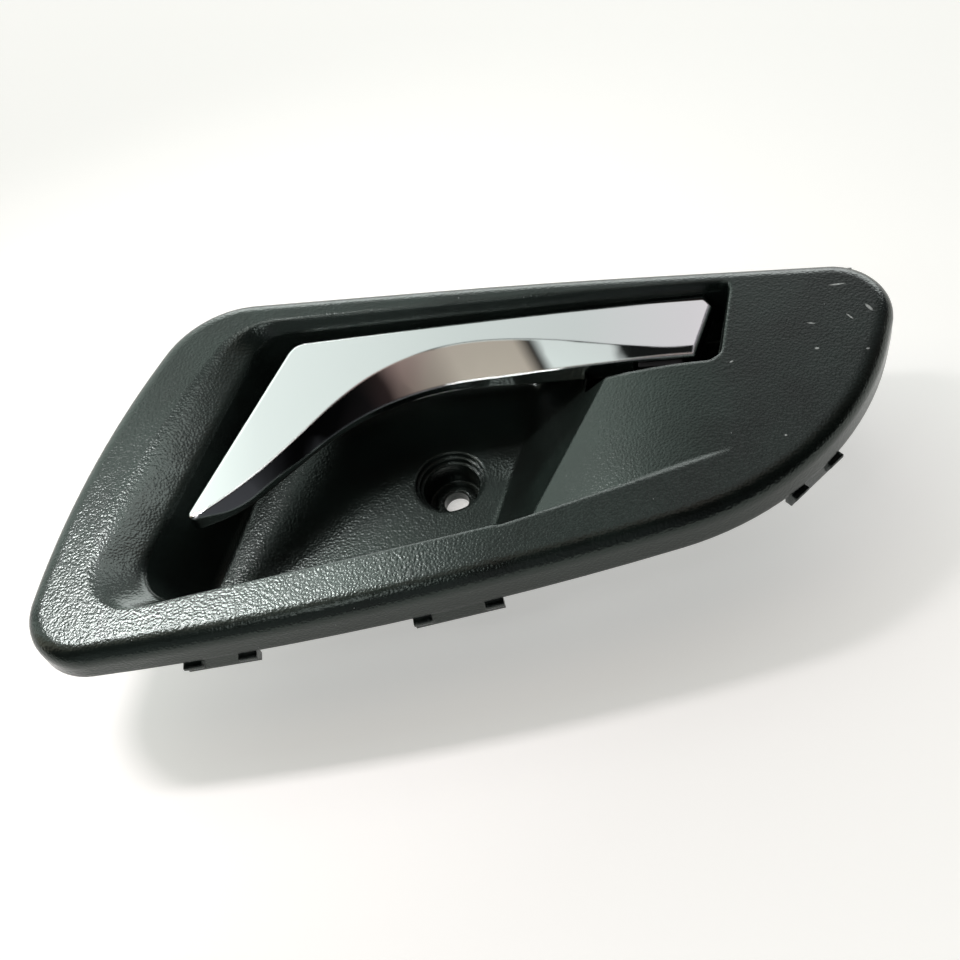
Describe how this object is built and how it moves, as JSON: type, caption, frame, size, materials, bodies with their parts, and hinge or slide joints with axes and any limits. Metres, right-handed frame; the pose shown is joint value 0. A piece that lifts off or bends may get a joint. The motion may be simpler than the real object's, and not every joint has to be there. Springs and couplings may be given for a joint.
{
  "type": "car interior door handle",
  "caption": "Inside door opener for a car: a black grained bezel with a finger cup and screw boss, and a chrome pull lever hinged in it.",
  "frame": {"origin": "on the screw's axis, in the face of the screw boss that sits on the door's inner panel", "axes": "+X along the straight top edge towards the lever's hinge, +Y up the door, +Z out of the door into the car"},
  "size_m": [0.1983, 0.1033, 0.0383],
  "materials": {
    "grained_plastic": "moulded black plastic with a fine leather grain",
    "chrome_plate": "bright chrome plating",
    "pin_steel": "plain drawn steel",
    "spring_steel": "drawn spring wire",
    "black_rubber": "matt black rubber"
  },
  "bodies": {
    "case": {"bezel_case": "grained_plastic", "pivot_pin": "pin_steel", "stop_bumper": "black_rubber", "return_spring": "spring_steel"},
    "lever": {"lever": "chrome_plate"}
  },
  "joints": [
    {"name": "lever_pivot", "type": "hinge", "parent": "case", "child": "lever", "pos_m": [0.056, 0.0265, 0.028], "axis": [0, 1, 0], "range_deg": [0, 30], "stiffness_Nm_per_rad": 0.5, "springref_deg": -20.05, "deforming": ["return_spring"]}
  ]
}
